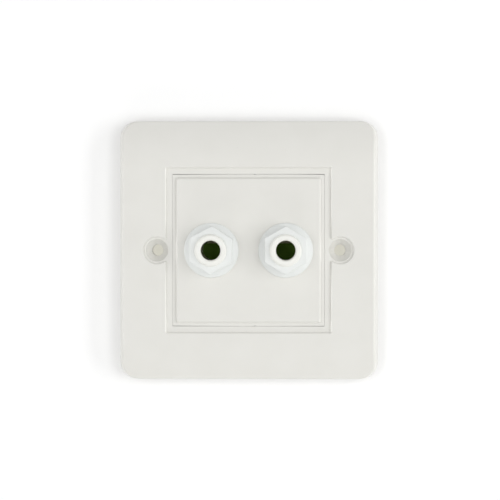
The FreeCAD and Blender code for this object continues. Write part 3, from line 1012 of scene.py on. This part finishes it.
@dataclass
class CircuitBoard:
    """Board behind the jacks: tracks, pads, solder joints and printed outlines."""

    copper_mm: float = 0.06
    ink_mm: float = 0.03
    track_width_mm: float = 1.1
    pad_radius_mm: float = 1.15
    joint_radius_mm: float = 0.95
    joint_neck_mm: float = 0.42
    joint_rise_mm: float = 0.75
    joint_flatten: float = 0.75
    joint_crown: float = 1.02
    joint_rings: int = 8
    joint_steps: int = 28
    straight_mm: float = 1.0
    outline_gap_mm: float = 0.45
    ink_width_mm: float = 0.25
    strip_mm: float = STRIP_MM

    def dress(self) -> None:
        """Give the bare board its finish."""
        dress("circuit_board", BOARD_LAMINATE)

    def build(self) -> None:
        """Add everything that is on the board, one side at a time."""
        for side in Side:
            self.tracks(side)
            self.joints(side, BoardFace.REAR, [self.tail(side, pole) for pole in Pole])
            self.joints(side, BoardFace.FRONT, [self.way(side, pole) for pole in Pole])
            self.outline(side)

    def surface(
        self, face: BoardFace, place: Point, stretch: Sequence[float] = (1.0, 1.0, 1.0)
    ) -> Matrix:
        """Return a transform onto the board whose local Z points away from it.

        Args:
            face: Face of the board.
            place: X and Z of the local origin.
            stretch: Scale along each local axis.

        Returns:
            The transform from local to frame.
        """
        low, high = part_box("circuit_board")
        y = high.y if face is BoardFace.REAR else low.y
        return facing(Vector((0, face.value, 0)), Vector((place[0], y, place[1])), stretch)

    def tail(self, side: Side, pole: Pole) -> Point:
        """Find where one of a jack's contacts comes through the board.

        Args:
            side: Jack that the contact belongs to.
            pole: Circuit of the contact.

        Returns:
            X and Z of the contact's tail.
        """
        half_strip = self.strip_mm * MM / 2
        nodes = {
            Pole.TIP: "tip_spring",
            Pole.SLEEVE: "sleeve_contact",
            Pole.BREAK: "break_contact",
        }
        low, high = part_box(f"{nodes[pole]}_{side.value}")
        z = low.z + half_strip if pole is Pole.SLEEVE else high.z - half_strip
        return (low.x + high.x) / 2, z

    def way(self, side: Side, pole: Pole) -> Point:
        """Return X and Z of the terminal blade that a pole leads to."""
        place = middle_of(f"terminal_blade_{side.value}_{pole.value}")
        return place.x, place.z

    def tracks(self, side: Side) -> None:
        """Lead each contact's tail down to its terminal, with a slanted run where it steps aside.

        Args:
            side: Jack that the tracks belong to.
        """
        copper = MeshDraft.empty()
        flat = self.surface(BoardFace.REAR, (0.0, 0.0))
        for pole in Pole:
            start, end = self.tail(side, pole), self.way(side, pole)
            aside = abs(end[0] - start[0])
            slant = [(end[0], start[1] - aside)] if aside > self.straight_mm * MM else []
            route = [start, *slant, end]
            turned = [self.on_surface(flat, point) for point in route]
            copper.ribbon(turned, self.track_width_mm * MM, self.copper_mm * MM, flat, closed=False)
        copper.piece(f"board_tracks_{side.value}", BOARD_TRACK, "board", smooth=False)

    def on_surface(self, surface: Matrix, point: Point) -> Point:
        """Return the local place of a point that is given by its X and Z in the frame."""
        local = surface.inverted() @ Vector((point[0], surface.translation.y, point[1]))
        return local.x, local.y

    def joints(self, side: Side, face: BoardFace, places: Sequence[Point]) -> None:
        """Solder a row of tails on one face.

        Args:
            side: Jack that the tails belong to.
            face: Face that the tails come out of.
            places: X and Z of each tail.
        """
        solder = MeshDraft.empty()
        stretch = (1.0, self.joint_flatten, 1.0)
        neck = self.joint_neck_mm * MM
        spread = self.joint_radius_mm * MM - neck
        rise = self.joint_rise_mm * MM
        copper = self.copper_mm * MM
        profile = [(self.pad_radius_mm * MM, 0.0), (self.pad_radius_mm * MM, copper)]
        for ring in range(self.joint_rings + 1):
            share = ring / self.joint_rings
            profile.append((neck + spread * (1 - share) ** 2, copper + rise * share))
        profile.append((0.0, copper + rise * self.joint_crown))
        for place in places:
            solder.revolve(profile, self.surface(face, place, stretch), self.joint_steps)
        solder.piece(f"solder_joints_{face.name.lower()}_{side.value}", SOLDER, "tinned")

    def outline(self, side: Side) -> None:
        """Print the outline of the terminal block round its foot.

        Args:
            side: Jack that the block belongs to.
        """
        low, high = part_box(f"terminal_block_{side.value}")
        gap = self.outline_gap_mm * MM
        height = (self.copper_mm + self.ink_mm) * MM
        flat = self.surface(BoardFace.REAR, (0.0, 0.0))
        corners = [
            (low.x - gap, low.z - gap),
            (high.x + gap, low.z - gap),
            (high.x + gap, high.z + gap),
            (low.x - gap, high.z + gap),
        ]
        ink = MeshDraft.empty()
        turned = [self.on_surface(flat, corner) for corner in corners]
        ink.ribbon(turned, self.ink_width_mm * MM, height, flat, closed=True)
        ink.piece(f"block_outline_{side.value}", MARKING_INK, "board", smooth=False)


@dataclass
class Terminals:
    """Insulation displacement blocks with their forked blades."""

    ways: int = 3

    def dress(self) -> None:
        """Give the blocks and blades their finishes."""
        for side in Side:
            dress(f"terminal_block_{side.value}", TERMINAL_PBT)
            for number in range(1, self.ways + 1):
                dress(f"terminal_blade_{side.value}_{number}", BLADE_TIN)


# Studio


@dataclass(frozen=True)
class SoftPanel:
    """A diffused lamp that points at the plate, with its place and size in metres."""

    name: str
    place: tuple[float, float, float]
    width: float
    height: float
    watts: float

    def light(self, target: Vector) -> bpy.types.Object:
        """Hang the lamp.

        Args:
            target: Point that the lamp faces.

        Returns:
            The lamp object.
        """
        lamp = bpy.data.lights.new(self.name, "AREA")
        lamp.shape = "RECTANGLE"
        lamp.size = self.width
        lamp.size_y = self.height
        lamp.energy = self.watts
        made = bpy.data.objects.new(self.name, lamp)
        made.location = self.place
        made.rotation_euler = (target - made.location).to_track_quat("-Z", "Y").to_euler()
        bpy.context.scene.collection.objects.link(made)
        return made


@dataclass
class Studio:
    """White sweep, soft light and a camera nearly square to the plate, in metres."""

    camera_distance: float = 0.6
    azimuth_deg: float = 1.2
    elevation_deg: float = 0.6
    aim: tuple[float, float, float] = (0.0003, 0.0, 0.0)
    field_at_wall: float = 0.167
    wall_reach: float = 1.2
    hole_reach: float = 0.0412
    wall_gap: float = 0.00005
    card_radius: float = 0.0022
    card_steps: int = 32
    fixing_x: float = 0.03015
    floor_drop: float = 1.25
    ambient: float = 0.455
    # The rear lamp hangs in the plate's middle plane, so that it faces no side wall: the paper
    # would block its light there and leave only noise.
    panels: tuple[SoftPanel, ...] = (
        SoftPanel("right_rim_panel", (1.06, -0.1, 0.0), 0.12, 0.3, 1.25),
        SoftPanel("right_panel", (0.9, -0.63, 0.0), 0.25, 0.9, 3.1),
        SoftPanel("right_front_panel", (0.53, -1.0, 0.0), 0.4, 0.9, 2.15),
        SoftPanel("left_rim_panel", (-1.06, -0.1, 0.0), 0.12, 0.3, 1.8),
        SoftPanel("left_front_panel", (-0.53, -1.0, 0.0), 0.4, 0.9, 2.95),
        SoftPanel("low_panel", (0.0, -0.4, -1.0), 0.9, 0.25, 1.05),
        SoftPanel("rear_panel", (0.0, 1.2, -0.3), 0.3, 0.3, 3.8),
    )

    def build(self) -> None:
        """Set up the sweep, the light and the camera."""
        self.wall()
        self.floor()
        self.world()
        for panel in self.panels:
            panel.light(Vector((0, 0, 0)))
        self.camera()
        bpy.context.scene.view_settings.view_transform = "Standard"

    def sheet(
        self, name: str, points: Sequence[Sequence[float]], faces: Faces, finish: Finish
    ) -> None:
        """Add a flat sheet to the stage.

        Args:
            name: Name of the sheet.
            points: Corners of the sheet.
            faces: Corner numbers of each face.
            finish: Surface of the sheet.
        """
        mesh = bpy.data.meshes.new(name)
        mesh.from_pydata(points, [], faces)
        mesh.materials.append(finish.material())
        made = bpy.data.objects.new(name, mesh)
        bpy.context.scene.collection.objects.link(made)

    def wall(self) -> None:
        """Stand the sweep behind the plate's rim, open behind its hollow, with a card of painted shade at
        each hole.
        """
        reaches = (self.hole_reach, self.wall_reach)
        points = [(x * reach, self.wall_gap, z * reach) for reach in reaches for x, z in SQUARE]
        sides = len(SQUARE)
        nexts = [(n + 1) % sides for n in range(sides)]
        faces = [[n, sides + n, sides + after, after] for n, after in enumerate(nexts)]
        self.sheet("backdrop_wall", points, faces, PAPER_SWEEP)
        # Each card glows a fixed grey: painted shade where the paper lies behind a screw hole
        radius = self.card_radius
        turns = [math.tau * step / self.card_steps for step in range(self.card_steps)]
        disc = [(radius * math.cos(turn), radius * math.sin(turn)) for turn in turns]
        for side, middle in ((Side.LEFT, -self.fixing_x), (Side.RIGHT, self.fixing_x)):
            points = [(middle + x, self.wall_gap, z) for x, z in disc]
            face = list(range(self.card_steps))
            self.sheet(f"backdrop_card_{side.value}", points, [face], PAINTED_SHADE_CARD)

    def floor(self) -> None:
        """Lay the sweep's floor below the lamps."""
        reach = self.wall_reach
        points = [(x * reach, y * reach, -self.floor_drop) for x, y in SQUARE]
        self.sheet("floor", points, [list(range(len(SQUARE)))], PAPER_SWEEP)

    def world(self) -> None:
        """Surround the plate with white that lights it softly from all round."""
        world = bpy.data.worlds.new("soft_surround")
        world.use_nodes = True
        tree = world.node_tree
        tree.nodes.clear()
        ambient = add_node(tree, "ShaderNodeBackground", {"Color": WHITE, "Strength": self.ambient})
        white = add_node(tree, "ShaderNodeBackground", {"Color": WHITE, "Strength": 1.0})
        mixed = add_node(
            tree,
            "ShaderNodeMixShader",
            {0: seen_directly(tree), 1: ambient.outputs["Background"], 2: white.outputs["Background"]},
        )
        add_node(tree, "ShaderNodeOutputWorld", {"Surface": mixed.outputs["Shader"]})
        bpy.context.scene.world = world

    def camera(self) -> None:
        """Set the camera nearly square to the plate, at the photograph's distance and field."""
        lens = bpy.data.cameras.new("camera")
        lens.lens = lens.sensor_width * self.camera_distance / self.field_at_wall
        made = bpy.data.objects.new("camera", lens)
        turn, lift = math.radians(self.azimuth_deg), math.radians(self.elevation_deg)
        level = math.cos(lift)
        away = Vector((math.sin(turn) * level, -math.cos(turn) * level, math.sin(lift)))
        made.location = Vector(self.aim) + away * self.camera_distance
        made.rotation_euler = away.to_track_quat("Z", "Y").to_euler()
        bpy.context.scene.collection.objects.link(made)
        bpy.context.scene.camera = made


def main() -> None:
    """Dress the frame, add the finer pieces and set up the studio."""
    logging.basicConfig(level=logging.INFO, format="%(message)s")
    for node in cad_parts.values():
        soften(node)
    assemblies = [MouldedFront(), *(JackSocket(side) for side in Side), CircuitBoard()]
    for assembly in assemblies:
        assembly.dress()
        assembly.build()
    Terminals().dress()
    Studio().build()


if __name__ == "__main__":
    main()
